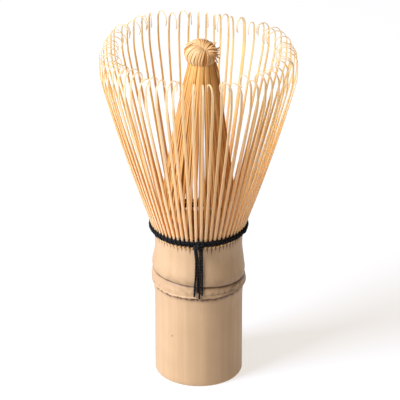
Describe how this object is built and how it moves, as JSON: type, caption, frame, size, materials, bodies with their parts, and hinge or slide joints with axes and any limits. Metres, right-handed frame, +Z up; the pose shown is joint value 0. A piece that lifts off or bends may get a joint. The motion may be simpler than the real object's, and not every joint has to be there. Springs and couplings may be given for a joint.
{
  "type": "bamboo tea whisk",
  "caption": "Bamboo whisk for powdered tea: a culm handle split into a crown of curled outer tines around an inner cone of tines twisted into a knot, held by black thread.",
  "frame": {"origin": "centre of the foot, on the plane the whisk stands on", "axes": "+Z up along the handle to the tines; -Y is the front, the side with the thread knot"},
  "size_m": [0.0574, 0.0574, 0.1069],
  "materials": {
    "culm_skin": "smooth dry bamboo skin, soft satin",
    "outer_bamboo": "pale skin outside, golden knife-cut sides",
    "inner_bamboo": "golden knife-cut bamboo",
    "pith": "pale papery node wall",
    "thread": "black waxed cotton thread, matt"
  },
  "bodies": {
    "handle": {"culm": "culm_skin", "node_diaphragm": "pith", "outer_tine_roots": "outer_bamboo", "tip_knot": "inner_bamboo", "thread_weave": "thread", "thread_knot": "thread", "thread_tail_1": "thread", "thread_tail_2": "thread", "thread_tail_3": "thread", "thread_tail_4": "thread", "inner_tines_01": "inner_bamboo", "inner_tines_02": "inner_bamboo", "inner_tines_03": "inner_bamboo", "inner_tines_04": "inner_bamboo", "inner_tines_05": "inner_bamboo", "inner_tines_06": "inner_bamboo", "inner_tines_07": "inner_bamboo", "inner_tines_08": "inner_bamboo", "inner_tines_09": "inner_bamboo", "inner_tines_10": "inner_bamboo", "inner_tines_11": "inner_bamboo", "inner_tines_12": "inner_bamboo", "inner_tines_13": "inner_bamboo", "inner_tines_14": "inner_bamboo", "inner_tines_15": "inner_bamboo", "inner_tines_16": "inner_bamboo"},
    "outer_01": {"outer_tines_01": "outer_bamboo"},
    "outer_02": {"outer_tines_02": "outer_bamboo"},
    "outer_03": {"outer_tines_03": "outer_bamboo"},
    "outer_04": {"outer_tines_04": "outer_bamboo"},
    "outer_05": {"outer_tines_05": "outer_bamboo"},
    "outer_06": {"outer_tines_06": "outer_bamboo"},
    "outer_07": {"outer_tines_07": "outer_bamboo"},
    "outer_08": {"outer_tines_08": "outer_bamboo"},
    "outer_09": {"outer_tines_09": "outer_bamboo"},
    "outer_10": {"outer_tines_10": "outer_bamboo"},
    "outer_11": {"outer_tines_11": "outer_bamboo"},
    "outer_12": {"outer_tines_12": "outer_bamboo"},
    "outer_13": {"outer_tines_13": "outer_bamboo"},
    "outer_14": {"outer_tines_14": "outer_bamboo"},
    "outer_15": {"outer_tines_15": "outer_bamboo"},
    "outer_16": {"outer_tines_16": "outer_bamboo"}
  },
  "joints": [
    {"name": "outer_flex_01", "type": "hinge", "parent": "handle", "child": "outer_01", "pos_m": [0.01346, 0.00268, 0.04919], "axis": [-0.1951, 0.9808, 0], "range_deg": [-3, 8], "stiffness_Nm_per_rad": 0.003},
    {"name": "outer_flex_02", "type": "hinge", "parent": "handle", "child": "outer_02", "pos_m": [0.01141, 0.00763, 0.04919], "axis": [-0.5556, 0.8315, 0], "range_deg": [-3, 8], "stiffness_Nm_per_rad": 0.003},
    {"name": "outer_flex_03", "type": "hinge", "parent": "handle", "child": "outer_03", "pos_m": [0.00763, 0.01141, 0.04919], "axis": [-0.8315, 0.5556, 0], "range_deg": [-3, 8], "stiffness_Nm_per_rad": 0.003},
    {"name": "outer_flex_04", "type": "hinge", "parent": "handle", "child": "outer_04", "pos_m": [0.00268, 0.01346, 0.04919], "axis": [-0.9808, 0.1951, 0], "range_deg": [-3, 8], "stiffness_Nm_per_rad": 0.003},
    {"name": "outer_flex_05", "type": "hinge", "parent": "handle", "child": "outer_05", "pos_m": [-0.00268, 0.01346, 0.04919], "axis": [-0.9808, -0.1951, 0], "range_deg": [-3, 8], "stiffness_Nm_per_rad": 0.003},
    {"name": "outer_flex_06", "type": "hinge", "parent": "handle", "child": "outer_06", "pos_m": [-0.00763, 0.01141, 0.04919], "axis": [-0.8315, -0.5556, 0], "range_deg": [-3, 8], "stiffness_Nm_per_rad": 0.003},
    {"name": "outer_flex_07", "type": "hinge", "parent": "handle", "child": "outer_07", "pos_m": [-0.01141, 0.00763, 0.04919], "axis": [-0.5556, -0.8315, 0], "range_deg": [-3, 8], "stiffness_Nm_per_rad": 0.003},
    {"name": "outer_flex_08", "type": "hinge", "parent": "handle", "child": "outer_08", "pos_m": [-0.01346, 0.00268, 0.04919], "axis": [-0.1951, -0.9808, 0], "range_deg": [-3, 8], "stiffness_Nm_per_rad": 0.003},
    {"name": "outer_flex_09", "type": "hinge", "parent": "handle", "child": "outer_09", "pos_m": [-0.01346, -0.00268, 0.04919], "axis": [0.1951, -0.9808, 0], "range_deg": [-3, 8], "stiffness_Nm_per_rad": 0.003},
    {"name": "outer_flex_10", "type": "hinge", "parent": "handle", "child": "outer_10", "pos_m": [-0.01141, -0.00763, 0.04919], "axis": [0.5556, -0.8315, 0], "range_deg": [-3, 8], "stiffness_Nm_per_rad": 0.003},
    {"name": "outer_flex_11", "type": "hinge", "parent": "handle", "child": "outer_11", "pos_m": [-0.00763, -0.01141, 0.04919], "axis": [0.8315, -0.5556, 0], "range_deg": [-3, 8], "stiffness_Nm_per_rad": 0.003},
    {"name": "outer_flex_12", "type": "hinge", "parent": "handle", "child": "outer_12", "pos_m": [-0.00268, -0.01346, 0.04919], "axis": [0.9808, -0.1951, 0], "range_deg": [-3, 8], "stiffness_Nm_per_rad": 0.003},
    {"name": "outer_flex_13", "type": "hinge", "parent": "handle", "child": "outer_13", "pos_m": [0.00268, -0.01346, 0.04919], "axis": [0.9808, 0.1951, 0], "range_deg": [-3, 8], "stiffness_Nm_per_rad": 0.003},
    {"name": "outer_flex_14", "type": "hinge", "parent": "handle", "child": "outer_14", "pos_m": [0.00763, -0.01141, 0.04919], "axis": [0.8315, 0.5556, 0], "range_deg": [-3, 8], "stiffness_Nm_per_rad": 0.003},
    {"name": "outer_flex_15", "type": "hinge", "parent": "handle", "child": "outer_15", "pos_m": [0.01141, -0.00763, 0.04919], "axis": [0.5556, 0.8315, 0], "range_deg": [-3, 8], "stiffness_Nm_per_rad": 0.003},
    {"name": "outer_flex_16", "type": "hinge", "parent": "handle", "child": "outer_16", "pos_m": [0.01346, -0.00268, 0.04919], "axis": [0.1951, 0.9808, 0], "range_deg": [-3, 8], "stiffness_Nm_per_rad": 0.003}
  ]
}
